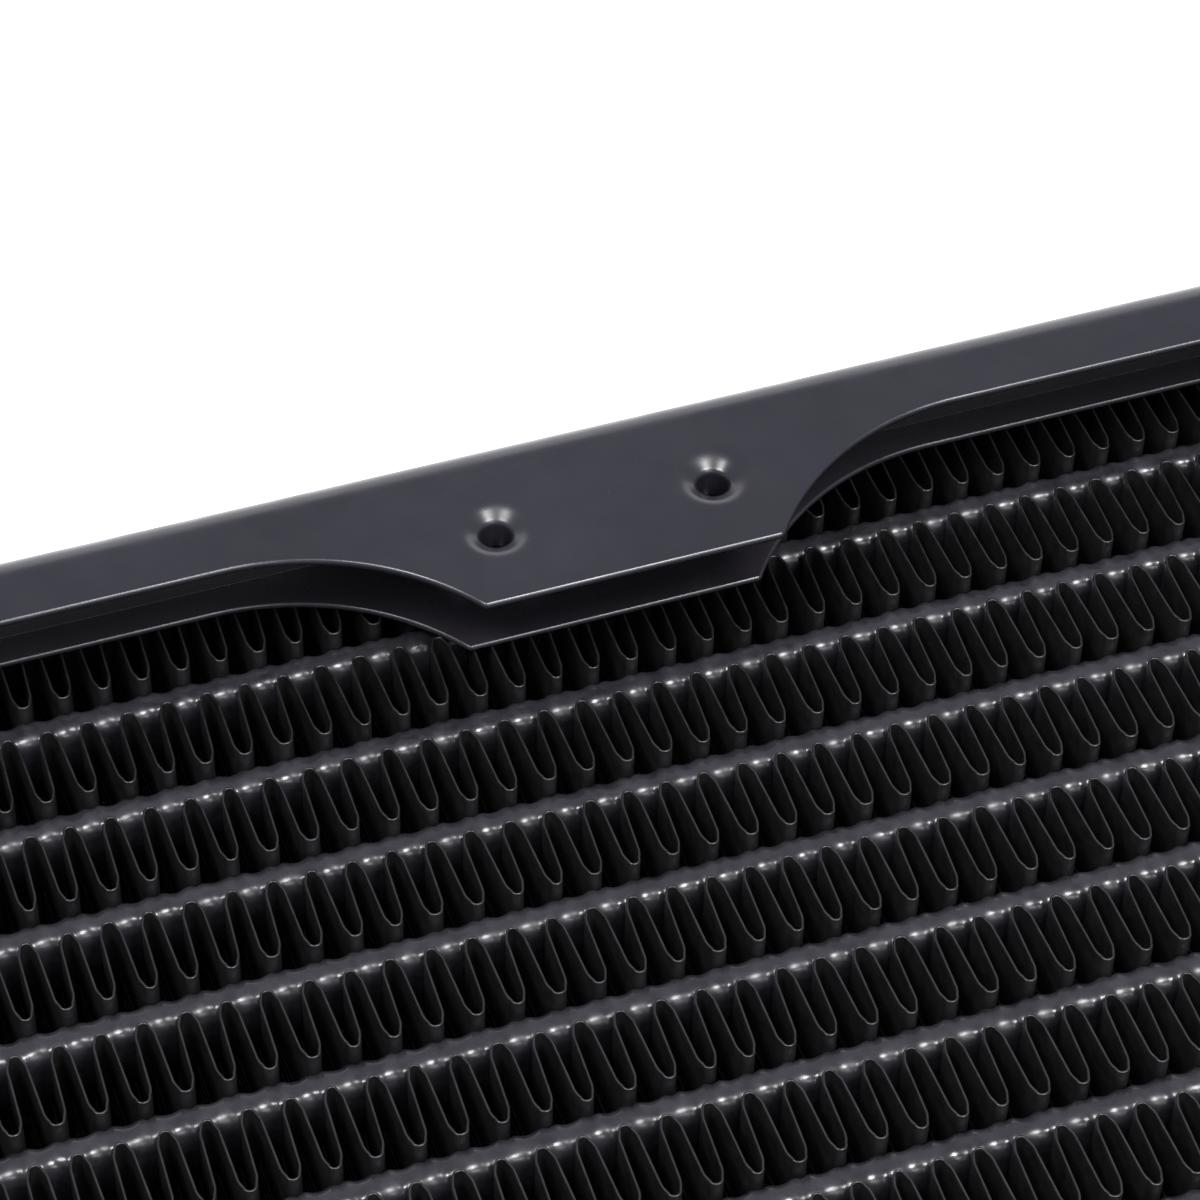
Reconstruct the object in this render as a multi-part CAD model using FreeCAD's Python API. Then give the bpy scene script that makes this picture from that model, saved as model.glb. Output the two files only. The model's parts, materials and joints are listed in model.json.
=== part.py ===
import FreeCAD, Part
import math
import os

# Liquid cooling radiator for two 120 mm fans side by side, lying on its lower fan face.
# Millimetres. +X runs along the radiator towards the port tank, +Y across it, +Z up through the core.
# Origin: centre of the bounding box in X and Y, at its lowest point in Z.
# Most of the model is drawn about the point midway between the two fans, then moved along X at the end.

V = FreeCAD.Vector
X_AXIS = V(1, 0, 0)
Z_AXIS = V(0, 0, 1)

# Fans and overall size
FAN_SIZE = 120.0
FAN_COUNT = 2
HOLE_SPACING = 105.0
HOLE_TO_OUTSIDE = 8.5
WIDTH = HOLE_SPACING + 2 * HOLE_TO_OUTSIDE
HEIGHT = 45.0
FLANGE_LENGTH = FAN_COUNT * FAN_SIZE + 4.0

# Side rails: folded channels whose flanges widen into tabs at the fan corners
RAIL_SHEET = 0.6
RAIL_BEND = 3.1
NARROW_EDGE = 1.8
TAB_EDGE = -6.24
TAB_ARC_RADIUS = 18.35
TAB_ARC_OFFSET = 25.4
TONGUE_HEIGHT = 36.0
TONGUE_ON_PORT_TANK = 15.0
TONGUE_ON_RETURN_TANK = 7.0

# Formed M3 holes in the tabs: a dished rim leading down into a plain tapped collar
DISH_RADIUS = 2.75
COLLAR_LENGTH = 1.6
TAP_RADIUS = 1.25

# Guard strips: folded strips under each flange that keep fan screws off the tubes
GUARD_SHEET = 0.5
GUARD_BEND = 1.2
GUARD_DEPTH = 7.8
GUARD_SETBACK = 3.4
GUARD_LIP = 4.4

# Core: flat tubes with folded fin strips between them
CORE_WIDTH = 120.0
TUBE_COUNT = 14
TUBE_THICKNESS = 2.1
TUBE_WALL = 0.3
FIN_SHEET = 0.16
FIN_PERIOD = 2.63
FIN_STAND_PROUD = 1.0
CORE_GAP = 0.05
SOLDER_GAP = 0.04

# Tanks and header plates
TANK_WALL = 1.5
HEADER_SHEET = 1.5
PORT_TANK_LENGTH = 22.0
RETURN_TANK_LENGTH = 12.0
TANK_CORNER = 5.0
TANK_EDGE = 1.5
TUBE_THROUGH_HEADER = 1.0
HEADER_FIT = 0.05
BAFFLE_SHEET = 1.5

# Threaded bushes, G1/4
THREAD_MINOR_RADIUS = 5.72
BUSH_COLLAR_RADIUS = 10.0
BUSH_COLLAR_LENGTH = 2.0
BUSH_SLEEVE_RADIUS = 8.5
BUSH_LENGTH = 10.0
BLEED_BUSH_LENGTH = 9.5
BUSH_MOUTH = 0.8
PORT_FROM_MIDDLE = 30.0

# Bleed plug and its O-ring
PLUG_SHANK_RADIUS = 5.64
PLUG_SHANK_LENGTH = 8.0
PLUG_HEAD_RADIUS = 9.0
PLUG_HEAD_LENGTH = 4.0
PLUG_HEAD_GAP = 0.45
PLUG_GROOVE_RADIUS = 8.0
PLUG_GROOVE_DEPTH = 1.5
PLUG_KEY_FLATS = 6.0
PLUG_KEY_DEPTH = 5.0
O_RING_SECTION = 0.9
O_RING_RADIUS = 6.85
O_RING_LIFT = 0.95

# Worked out from the sizes above
HOLE_LINE = HOLE_SPACING / 2
FLANGE_END = FLANGE_LENGTH / 2
CUT_HALF = FAN_SIZE / 2
RAIL_INSIDE = WIDTH / 2 - RAIL_SHEET
FIN_BOTTOM = GUARD_DEPTH + GUARD_SHEET + CORE_GAP
FIN_TOP = HEIGHT - FIN_BOTTOM
FIN_SPACE = (CORE_WIDTH - TUBE_COUNT * TUBE_THICKNESS) / (TUBE_COUNT + 1)
TUBE_PITCH = FIN_SPACE + TUBE_THICKNESS
FIN_HEIGHT = FIN_SPACE - 2 * SOLDER_GAP
CORE_END = FLANGE_END - CORE_GAP
X_MAX = FLANGE_END + PORT_TANK_LENGTH + BUSH_COLLAR_LENGTH
X_MIN = -(FLANGE_END + RETURN_TANK_LENGTH + BUSH_COLLAR_LENGTH + PLUG_HEAD_GAP + PLUG_HEAD_LENGTH)
MIDDLE_X = -(X_MIN + X_MAX) / 2


def save(name, shape):
    """Move a shape into the radiator's own frame and write it as one node."""
    shape = shape.copy()
    shape.translate(V(MIDDLE_X, 0, 0))
    shape.exportStep("parts/%s.step" % name)
    box = shape.BoundBox
    print("%-26s solids %2d valid %s  x %.2f %.2f  y %.2f %.2f  z %.2f %.2f  vol %.1f" % (
        name, len(shape.Solids), shape.isValid(),
        box.XMin, box.XMax, box.YMin, box.YMax, box.ZMin, box.ZMax, shape.Volume))


def line(a, b):
    return Part.LineSegment(a, b).toShape()


def arc(a, middle, b):
    return Part.Arc(a, middle, b).toShape()


def block(x0, x1, y0, y1, z0, z1):
    return Part.makeBox(x1 - x0, y1 - y0, z1 - z0, V(x0, y0, z0))


def mirror_y(shape):
    """The same piece on the other long side."""
    return shape.mirror(V(0, 0, 0), V(0, 1, 0))


def mirror_z(shape):
    """The same feature on the other fan face."""
    return shape.mirror(V(0, 0, HEIGHT / 2), Z_AXIS)


# Side rails and guard strips ----------------------------------------------------------------------

def swept(edges, x_end):
    """A closed outline in the plane X = -x_end, swept along the radiator to x_end."""
    return Part.Face(Part.Wire(Part.__sortEdges__(edges))).extrude(X_AXIS * (2 * x_end))


def rail_channel(tab_y, x_end):
    """A folded channel open towards the core: two flanges from tab_y, round bends and an upright web."""
    def side(y_out, low, high, radius):
        turn = radius * (1 - math.sqrt(0.5))
        return [
            line(V(-x_end, tab_y, high), V(-x_end, y_out - radius, high)),
            arc(V(-x_end, y_out - radius, high), V(-x_end, y_out - turn, high - turn),
                V(-x_end, y_out, high - radius)),
            line(V(-x_end, y_out, high - radius), V(-x_end, y_out, low + radius)),
            arc(V(-x_end, y_out, low + radius), V(-x_end, y_out - turn, low + turn),
                V(-x_end, y_out - radius, low)),
            line(V(-x_end, y_out - radius, low), V(-x_end, tab_y, low)),
        ]
    edges = side(WIDTH / 2, 0, HEIGHT, RAIL_BEND)
    edges += side(RAIL_INSIDE, RAIL_SHEET, HEIGHT - RAIL_SHEET, RAIL_BEND - RAIL_SHEET)
    edges.append(line(V(-x_end, tab_y, HEIGHT), V(-x_end, tab_y, HEIGHT - RAIL_SHEET)))
    edges.append(line(V(-x_end, tab_y, 0), V(-x_end, tab_y, RAIL_SHEET)))
    return swept(edges, x_end)


def guard_angle(tab_y, x_end):
    """A folded angle under the upper flange: a level plate from tab_y, with a lip turned up against the web."""
    plate = HEIGHT - GUARD_DEPTH

    def side(y_out, low, radius):
        turn = radius * (1 - math.sqrt(0.5))
        return [
            line(V(-x_end, tab_y, low), V(-x_end, y_out - radius, low)),
            arc(V(-x_end, y_out - radius, low), V(-x_end, y_out - turn, low + turn),
                V(-x_end, y_out, low + radius)),
            line(V(-x_end, y_out, low + radius), V(-x_end, y_out, plate + GUARD_LIP)),
        ]
    edges = side(RAIL_INSIDE, plate - GUARD_SHEET, GUARD_BEND)
    edges += side(RAIL_INSIDE - GUARD_SHEET, plate, GUARD_BEND - GUARD_SHEET)
    edges.append(line(V(-x_end, tab_y, plate), V(-x_end, tab_y, plate - GUARD_SHEET)))
    edges.append(line(V(-x_end, RAIL_INSIDE, plate + GUARD_LIP),
                      V(-x_end, RAIL_INSIDE - GUARD_SHEET, plate + GUARD_LIP)))
    return swept(edges, x_end)


def fan_cut(fan_x, narrow_y, tab_y, past):
    """The opening that a fan looks through, between two tabs: straight edge and two round shoulders."""
    arc_x = CUT_HALF - TAB_ARC_OFFSET
    arc_y = narrow_y - TAB_ARC_RADIUS
    corner_x = arc_x + math.sqrt(TAB_ARC_RADIUS ** 2 - (tab_y - arc_y) ** 2)
    corner_angle = math.atan2(tab_y - arc_y, corner_x - arc_x)
    middle_angle = (corner_angle + math.pi / 2) / 2
    middle_x = arc_x + TAB_ARC_RADIUS * math.cos(middle_angle)
    middle_y = arc_y + TAB_ARC_RADIUS * math.sin(middle_angle)
    at = lambda x, y: V(fan_x + x, y, -1)
    edges = [
        line(at(-corner_x, tab_y - past), at(-corner_x, tab_y)),
        arc(at(-corner_x, tab_y), at(-middle_x, middle_y), at(-arc_x, narrow_y)),
        line(at(-arc_x, narrow_y), at(arc_x, narrow_y)),
        arc(at(arc_x, narrow_y), at(middle_x, middle_y), at(corner_x, tab_y)),
        line(at(corner_x, tab_y), at(corner_x, tab_y - past)),
        line(at(corner_x, tab_y - past), at(-corner_x, tab_y - past)),
    ]
    return Part.Face(Part.Wire(edges)).extrude(Z_AXIS * (HEIGHT + 2))


def fan_centres():
    first = -(FAN_COUNT - 1) / 2 * FAN_SIZE
    return [first + i * FAN_SIZE for i in range(FAN_COUNT)]


def hole_positions():
    half = HOLE_SPACING / 2
    return [x + side * half for x in fan_centres() for side in (-1, 1)]


def quarter_turn(radius, top):
    """A quarter-round bell mouth in the XZ plane, level where it leaves the flange and upright at the hole."""
    slant = radius * math.sqrt(0.5)
    return arc(V(DISH_RADIUS, 0, top), V(DISH_RADIUS - slant, 0, top - radius + slant),
               V(DISH_RADIUS - radius, 0, top - radius))


def formed_hole(x, y):
    """The metal of one formed hole on the upper flange: a dish whose middle runs down into a collar."""
    top = HEIGHT
    under = HEIGHT - RAIL_SHEET
    dish = DISH_RADIUS - TAP_RADIUS
    collar_radius = TAP_RADIUS + RAIL_SHEET
    collar_end = top - dish - COLLAR_LENGTH
    outline = Part.Wire([
        quarter_turn(dish, top),
        line(V(TAP_RADIUS, 0, top - dish), V(TAP_RADIUS, 0, collar_end)),
        line(V(TAP_RADIUS, 0, collar_end), V(collar_radius, 0, collar_end)),
        line(V(collar_radius, 0, collar_end), V(collar_radius, 0, top - dish)),
        quarter_turn(dish - RAIL_SHEET, under),
        line(V(DISH_RADIUS, 0, under), V(DISH_RADIUS, 0, top)),
    ])
    ring = Part.Face(outline).revolve(V(0, 0, 0), Z_AXIS, 360)
    ring.translate(V(x, y, 0))
    return ring


def side_rail():
    tab_y = HOLE_LINE + TAB_EDGE
    rail = rail_channel(tab_y, FLANGE_END)
    for fan_x in fan_centres():
        rail = rail.cut(fan_cut(fan_x, HOLE_LINE + NARROW_EDGE, tab_y, 2.0))
    for x in hole_positions():
        rail = rail.cut(Part.makeCylinder(DISH_RADIUS, 2 * HEIGHT, V(x, HOLE_LINE, -HEIGHT / 2)))
        upper = formed_hole(x, HOLE_LINE)
        rail = rail.fuse([upper, mirror_z(upper)])
    low = (HEIGHT - TONGUE_HEIGHT) / 2
    tongues = block(-FLANGE_END - TONGUE_ON_RETURN_TANK, FLANGE_END + TONGUE_ON_PORT_TANK,
                    RAIL_INSIDE, WIDTH / 2, low, HEIGHT - low)
    return rail.fuse(tongues).removeSplitter()


def guard_strip():
    tab_y = HOLE_LINE + TAB_EDGE + GUARD_SETBACK
    guard = guard_angle(tab_y, CORE_END)
    for fan_x in fan_centres():
        guard = guard.cut(fan_cut(fan_x, HOLE_LINE + NARROW_EDGE + GUARD_SETBACK, tab_y, 2.0))
    return guard


# Core --------------------------------------------------------------------------------------------

def round_ended(y, thickness, low, high, x0, x1):
    """A flat bar along X with full-round edges, thin in Y and upright in Z."""
    r = thickness / 2
    wire = Part.Wire([
        line(V(x0, y - r, low + r), V(x0, y - r, high - r)),
        arc(V(x0, y - r, high - r), V(x0, y, high), V(x0, y + r, high - r)),
        line(V(x0, y + r, high - r), V(x0, y + r, low + r)),
        arc(V(x0, y + r, low + r), V(x0, y, low), V(x0, y - r, low + r)),
    ])
    return Part.Face(wire).extrude(X_AXIS * (x1 - x0))


def tube(y):
    low = FIN_BOTTOM + FIN_STAND_PROUD
    high = FIN_TOP - FIN_STAND_PROUD
    end = FLANGE_END + HEADER_SHEET + TUBE_THROUGH_HEADER
    outer = round_ended(y, TUBE_THICKNESS, low, high, -end, end)
    inner = round_ended(y, TUBE_THICKNESS - 2 * TUBE_WALL, low + TUBE_WALL, high - TUBE_WALL, -end - 1, end + 1)
    return outer.cut(inner)


def fin_strip(y):
    """One folded strip: straight walls across the gap joined by half-round bends, extruded through the core."""
    radius = FIN_PERIOD / 4
    wall = FIN_HEIGHT / 2 - radius - FIN_SHEET / 2
    half = FIN_SHEET / 2
    folds = int(2 * (CORE_END - FIN_PERIOD / 4) / (FIN_PERIOD / 2))
    start = -folds * FIN_PERIOD / 4
    at = lambda x, dy: V(x, y + dy, FIN_BOTTOM)

    def face_of_sheet(shift):
        """One face of the sheet, shifted along X from its middle line at the first wall."""
        edges = []
        for i in range(folds + 1):
            x = start + i * FIN_PERIOD / 2
            side = 1 if i % 2 == 0 else -1
            here = x + shift * side
            edges.append(line(at(here, -side * wall), at(here, side * wall)))
            if i < folds:
                r = radius - shift * side
                centre = x + radius
                edges.append(arc(at(here, side * wall), at(centre, side * (wall + r)),
                                 at(centre + r, side * wall)))
        return edges

    left = face_of_sheet(-half)
    right = face_of_sheet(half)
    caps = [
        line(left[0].Vertexes[0].Point, right[0].Vertexes[0].Point),
        line(left[-1].Vertexes[1].Point, right[-1].Vertexes[1].Point),
    ]
    wire = Part.Wire(left + [caps[1]] + right[::-1] + [caps[0]])
    return Part.Face(wire).extrude(Z_AXIS * (FIN_TOP - FIN_BOTTOM))


# Tanks, header plates and baffle ---------------------------------------------------------------------

def tank(length, port_ys):
    """A tank that opens towards the core, drawn at the port end, with holes in its end wall for bushes."""
    x0 = FLANGE_END
    x1 = FLANGE_END + length
    body = block(x0, x1, -RAIL_INSIDE, RAIL_INSIDE, 0, HEIGHT)
    upright = [e for e in body.Edges if e.BoundBox.ZLength > HEIGHT - 1 and e.BoundBox.XMin > x1 - 0.1]
    body = body.makeFillet(TANK_CORNER, upright)
    rim = [e for e in body.Edges if e.BoundBox.ZLength < 0.01 and e.BoundBox.XMax > x0 + 0.1]
    body = body.makeFillet(TANK_EDGE, rim)
    body = body.cut(block(x0 - 1, x1 - TANK_WALL, -RAIL_INSIDE + TANK_WALL, RAIL_INSIDE - TANK_WALL,
                          TANK_WALL, HEIGHT - TANK_WALL))
    for y in port_ys:
        hole = Part.makeCylinder(BUSH_SLEEVE_RADIUS + HEADER_FIT, 3 * TANK_WALL,
                                 V(x1 - 2 * TANK_WALL, y, HEIGHT / 2), X_AXIS)
        body = body.cut(hole)
    return body


def header_plate():
    """The plate that closes a tank, with one slot for each tube, drawn at the port end."""
    half = RAIL_INSIDE - TANK_WALL - HEADER_FIT
    plate = block(FLANGE_END, FLANGE_END + HEADER_SHEET, -half, half,
                  TANK_WALL + HEADER_FIT, HEIGHT - TANK_WALL - HEADER_FIT)
    slots = [round_ended(y, TUBE_THICKNESS + 2 * HEADER_FIT, FIN_BOTTOM + FIN_STAND_PROUD - HEADER_FIT,
                         FIN_TOP - FIN_STAND_PROUD + HEADER_FIT, FLANGE_END - 1, FLANGE_END + HEADER_SHEET + 1)
             for y in tube_places()]
    return plate.cut(slots)


def baffle():
    """The wall across the port tank, between the two middle tubes."""
    low = TANK_WALL + HEADER_FIT
    return block(FLANGE_END + HEADER_SHEET, FLANGE_END + PORT_TANK_LENGTH - TANK_WALL,
                 -BAFFLE_SHEET / 2, BAFFLE_SHEET / 2, low, HEIGHT - low)


def other_end(shape):
    """The same piece at the return end."""
    return shape.mirror(V(0, 0, 0), X_AXIS)


# Bushes, bleed plug and O-ring -------------------------------------------------------------------

def turned(points, y, x_face):
    """A turned piece about an axis along +X: points are (distance along X from x_face, radius)."""
    corners = [V(x_face + x, y + r, HEIGHT / 2) for x, r in points]
    wire = Part.makePolygon(corners + [corners[0]])
    return Part.Face(wire).revolve(V(x_face, y, HEIGHT / 2), X_AXIS, 360)


def bush(y, length, x_wall):
    """A threaded bush whose collar stands on the outside of a tank's end wall at x_wall."""
    out = BUSH_COLLAR_LENGTH
    chamfer = 0.5
    return turned([
        (out - length, THREAD_MINOR_RADIUS),
        (out - BUSH_MOUTH, THREAD_MINOR_RADIUS),
        (out, THREAD_MINOR_RADIUS + BUSH_MOUTH),
        (out, BUSH_COLLAR_RADIUS - chamfer),
        (out - chamfer, BUSH_COLLAR_RADIUS),
        (0, BUSH_COLLAR_RADIUS),
        (0, BUSH_SLEEVE_RADIUS),
        (out - length, BUSH_SLEEVE_RADIUS),
    ], y, x_wall)


def bleed_plug(x_collar):
    """A stop plug with a grooved head and a hexagon socket, screwed home against a collar at x_collar."""
    under = PLUG_HEAD_GAP
    top = under + PLUG_HEAD_LENGTH
    chamfer = 0.6
    body = turned([
        (under - PLUG_SHANK_LENGTH, 0),
        (under - PLUG_SHANK_LENGTH, PLUG_SHANK_RADIUS - chamfer),
        (under - PLUG_SHANK_LENGTH + chamfer, PLUG_SHANK_RADIUS),
        (under + PLUG_GROOVE_DEPTH, PLUG_SHANK_RADIUS),
        (under + PLUG_GROOVE_DEPTH, PLUG_GROOVE_RADIUS),
        (under, PLUG_GROOVE_RADIUS),
        (under, PLUG_HEAD_RADIUS),
        (top - chamfer, PLUG_HEAD_RADIUS),
        (top, PLUG_HEAD_RADIUS - chamfer),
        (top, 0),
    ], 0, x_collar)
    corner = PLUG_KEY_FLATS / math.sqrt(3)
    ring = [V(x_collar + top - PLUG_KEY_DEPTH, corner * math.sin(math.radians(60 * i)),
              HEIGHT / 2 + corner * math.cos(math.radians(60 * i))) for i in range(6)]
    socket = Part.Face(Part.makePolygon(ring + [ring[0]])).extrude(X_AXIS * (PLUG_KEY_DEPTH + 1))
    return body.cut(socket)


def o_ring(x_collar):
    return Part.makeTorus(O_RING_RADIUS, O_RING_SECTION, V(x_collar + O_RING_LIFT, 0, HEIGHT / 2), X_AXIS)


# The whole radiator --------------------------------------------------------------------------------

def tube_places():
    first = -TUBE_PITCH * (TUBE_COUNT - 1) / 2
    return [first + i * TUBE_PITCH for i in range(TUBE_COUNT)]


def fin_places():
    """The middle of every gap between tubes, and of the gap between each outer tube and its rail."""
    first = -TUBE_PITCH * TUBE_COUNT / 2
    return [first + i * TUBE_PITCH for i in range(TUBE_COUNT + 1)]


def main():
    os.makedirs("parts", exist_ok=True)
    rail = side_rail()
    guard = guard_strip()
    save("side_rail_left", rail)
    save("side_rail_right", mirror_y(rail))
    save("guard_strip_upper_left", guard)
    save("guard_strip_upper_right", mirror_y(guard))
    save("guard_strip_lower_left", mirror_z(guard))
    save("guard_strip_lower_right", mirror_y(mirror_z(guard)))
    for i, y in enumerate(tube_places()):
        save("tube_%02d" % (i + 1), tube(y))
    for i, y in enumerate(fin_places()):
        save("fin_strip_%02d" % (i + 1), fin_strip(y))
    save("header_plate_port_end", header_plate())
    save("header_plate_return_end", other_end(header_plate()))
    save("port_tank", tank(PORT_TANK_LENGTH, [-PORT_FROM_MIDDLE, PORT_FROM_MIDDLE]))
    save("return_tank", other_end(tank(RETURN_TANK_LENGTH, [0])))
    save("port_tank_baffle", baffle())
    port_wall = FLANGE_END + PORT_TANK_LENGTH
    return_wall = FLANGE_END + RETURN_TANK_LENGTH
    save("inlet_bush", bush(-PORT_FROM_MIDDLE, BUSH_LENGTH, port_wall))
    save("outlet_bush", bush(PORT_FROM_MIDDLE, BUSH_LENGTH, port_wall))
    save("bleed_bush", other_end(bush(0, BLEED_BUSH_LENGTH, return_wall)))
    save("bleed_plug", other_end(bleed_plug(return_wall + BUSH_COLLAR_LENGTH)))
    save("bleed_o_ring", other_end(o_ring(return_wall + BUSH_COLLAR_LENGTH)))


main()
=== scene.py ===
import json
import math
import random

import bmesh
import bpy
from mathutils import Euler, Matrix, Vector, noise
from mathutils.geometry import delaunay_2d_cdt


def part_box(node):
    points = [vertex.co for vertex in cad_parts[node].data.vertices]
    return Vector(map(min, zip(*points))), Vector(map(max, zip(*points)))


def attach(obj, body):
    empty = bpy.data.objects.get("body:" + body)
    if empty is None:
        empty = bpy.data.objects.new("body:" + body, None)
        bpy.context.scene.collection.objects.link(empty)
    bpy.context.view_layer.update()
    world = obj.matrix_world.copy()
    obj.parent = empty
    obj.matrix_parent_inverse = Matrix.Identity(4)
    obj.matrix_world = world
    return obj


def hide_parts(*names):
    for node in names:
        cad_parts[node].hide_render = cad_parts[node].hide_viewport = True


# Looks of the liquid cooling radiator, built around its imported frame.
# Pieces are drawn in millimetres, then scaled to the frame's metres.
# Lengths along X are measured from the point midway between the two fans, as MIDDLE_X.

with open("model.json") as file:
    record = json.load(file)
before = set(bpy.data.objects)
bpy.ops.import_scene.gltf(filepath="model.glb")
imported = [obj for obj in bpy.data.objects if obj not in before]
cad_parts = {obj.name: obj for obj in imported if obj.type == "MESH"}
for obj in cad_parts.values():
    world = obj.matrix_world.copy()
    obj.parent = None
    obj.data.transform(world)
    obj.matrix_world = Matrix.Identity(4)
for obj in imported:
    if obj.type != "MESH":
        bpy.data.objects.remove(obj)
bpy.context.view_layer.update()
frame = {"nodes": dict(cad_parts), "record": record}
MM = 0.001
RANDOM = random.Random(7)


def box_mm(node):
    """Lowest and highest corner of a CAD node, in millimetres."""
    low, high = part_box(node)
    return low / MM, high / MM


MOUNTS = {mount["name"]: mount for mount in frame["record"]["mounts"]}
FANS = [MOUNTS["fan_holes_upper_return_end"], MOUNTS["fan_holes_upper_port_end"]]

# Sizes read from the frame
RAIL_LOW, RAIL_HIGH = box_mm("side_rail_left")
MIDDLE_X = (FANS[0]["pos_m"][0] + FANS[1]["pos_m"][0]) / 2 / MM
FAN_CENTRES = [fan["pos_m"][0] / MM - MIDDLE_X for fan in FANS]
HOLE_LINE = FANS[0]["dims"]["spacing_y_mm"] / 2
HALF_SPACING_X = FANS[0]["dims"]["spacing_x_mm"] / 2
HEIGHT = RAIL_HIGH.z
HALF_WIDTH = RAIL_HIGH.y
FLANGE_END = box_mm("header_plate_port_end")[0].x - MIDDLE_X
TUBE_NODES = sorted(n for n in frame["nodes"] if n.startswith("tube_"))
FIN_NODES = sorted(n for n in frame["nodes"] if n.startswith("fin_strip_"))
GUARD_NODES = sorted(n for n in frame["nodes"] if n.startswith("guard_strip_"))

# Side rails and guard strips
FAN_SIZE = 120.0
RAIL_SHEET = 0.6
RAIL_BEND = 3.1
TONGUE_LOW = 4.5
NARROW_EDGE = 1.8
TAB_EDGE = -6.24
TAB_ARC_RADIUS = 18.35
TAB_ARC_OFFSET = 25.4
DISH_RADIUS = 3.0
DISH_SLOPE = 29.0
RIM_RADIUS = 0.55
TAP_RADIUS = 1.02
COLLAR_DEPTH = 3.1
GUARD_SHEET = 0.5
GUARD_BEND = 0.52
GUARD_DEPTH = 7.8
GUARD_SETBACK = 3.4
GUARD_LIP = 4.4
CUT_EDGE_ROUNDING = 0.28
GUARD_EDGE_ROUNDING = 0.23
GUARD_END_GAP = 0.05
RAIL_COLUMNS = 60

# Fins and tubes
FIN_SHEET = 0.17
FIN_PERIOD = 2.63
CROWN_CORNER = 0.38
CROWN_PINCH = 0.26
WALL_LEAN = 0.16
FIN_DENT = 0.05
FIN_DRIFT = 0.2
FIN_SLACK = 0.04
FIN_END_GAP = 0.05
LEAN_WAVES_PER_MM = 0.12
DRIFT_WAVES_PER_MM = 0.05
# where one near crown of each strip by the left rail stands; near_crown draws the others
NEAR_CROWNS = {"fin_strip_15": 0.35, "fin_strip_14": -0.1, "fin_strip_13": 1.95, "fin_strip_12": 2.35,
               "fin_strip_11": 2.4}
LOUVRE_PITCH = 1.2
LOUVRE_DEPTH = 4.5
LOUVRE_HALF = 1.9
LOUVRE_SHEET = 0.09
LOUVRE_TILT = math.radians(27)
LOUVRE_OVERLAP = 0.52
TUBE_WALL = 0.3
TUBE_LUMP = 0.05
NOSE_HEIGHT = 2.4
FILLET_SWELL = 0.22
FILLET_WIDTH = 0.4
FILLET_REACH = 0.48

# G1/4 thread, bushes, bleed plug
THREAD_PITCH = 1.337
THREAD_DEPTH = 0.8
BUSH_BORE = 5.72
BUSH_SLEEVE_RADIUS = 8.5
BUSH_COLLAR_LENGTH = 2.0
PLUG_SHANK_RADIUS = 5.64
PLUG_HEAD_LENGTH = 4.0
SEAL_GROOVE_RADIUS = 8.0
SEAL_GROOVE_DEPTH = 1.5
SOCKET_CORNER_RADIUS = 3.35
SOCKET_HALF_WIDTH = 3.0
SOCKET_DEPTH = 5.0
PLUG_POINTS_ROUND = 120
KNURL_SHARE = 0.03

# Fins are bare metal within the first distance of the core's mid-plane, and painted past the second
ALL_BARE = 5.0
NONE_BARE = 8.5

# Camera: where it stands from the point midway between the two middle holes of the left rail
CAMERA_OFFSET = Vector((-66.024, -180.556, 204.93))
CAMERA_TURNS = (41.852, -1.081, -18.833)
CAMERA_LENS = 129.0
SENSOR = 36.0

# Floor and lights, in metres and watts
FLOOR_HALF_WIDTH = 4.0
FLOOR_DROP = 0.0002
FLOOR_SQUARES = 8
CORE_AIM = (0, 0.05, 0.04)
BACKDROP_AIM = (0, 0, 0.1)


# Mesh helpers ------------------------------------------------------------------------------------

def finish_mesh(name, bm, node=None, material=None, body="radiator", sharp=35.0):
    """Turns a bmesh drawn in millimetres about MIDDLE_X into a piece that stands for a CAD node."""
    for vert in bm.verts:
        vert.co = Vector((vert.co.x + MIDDLE_X, vert.co.y, vert.co.z)) * MM
    mesh = bpy.data.meshes.new(name)
    bm.to_mesh(mesh)
    bm.free()
    piece = bpy.data.objects.new(name, mesh)
    bpy.context.scene.collection.objects.link(piece)
    mesh.shade_smooth()
    mesh.set_sharp_from_angle(angle=math.radians(sharp))
    if material:
        mesh.materials.append(material)
    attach(piece, body)
    if node:
        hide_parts(node)
    return piece


def flip_y(bm):
    """Mirrors a bmesh to the other long side."""
    for vert in bm.verts:
        vert.co.y = -vert.co.y
    bmesh.ops.reverse_faces(bm, faces=bm.faces[:])


def flip_z(bm):
    """Mirrors a bmesh to the other fan face."""
    for vert in bm.verts:
        vert.co.z = HEIGHT - vert.co.z
    bmesh.ops.reverse_faces(bm, faces=bm.faces[:])


def grid(bm, rows, closed_rows=False, closed_columns=False):
    """Quads between rows of points, which are all as long as each other."""
    made = [[bm.verts.new(point) for point in row] for row in rows]
    count = len(made) if closed_rows else len(made) - 1
    across = len(made[0]) if closed_columns else len(made[0]) - 1
    for i in range(count):
        a, b = made[i], made[(i + 1) % len(made)]
        for j in range(across):
            k = (j + 1) % len(a)
            bm.faces.new((a[j], a[k], b[k], b[j]))
    return made


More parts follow.
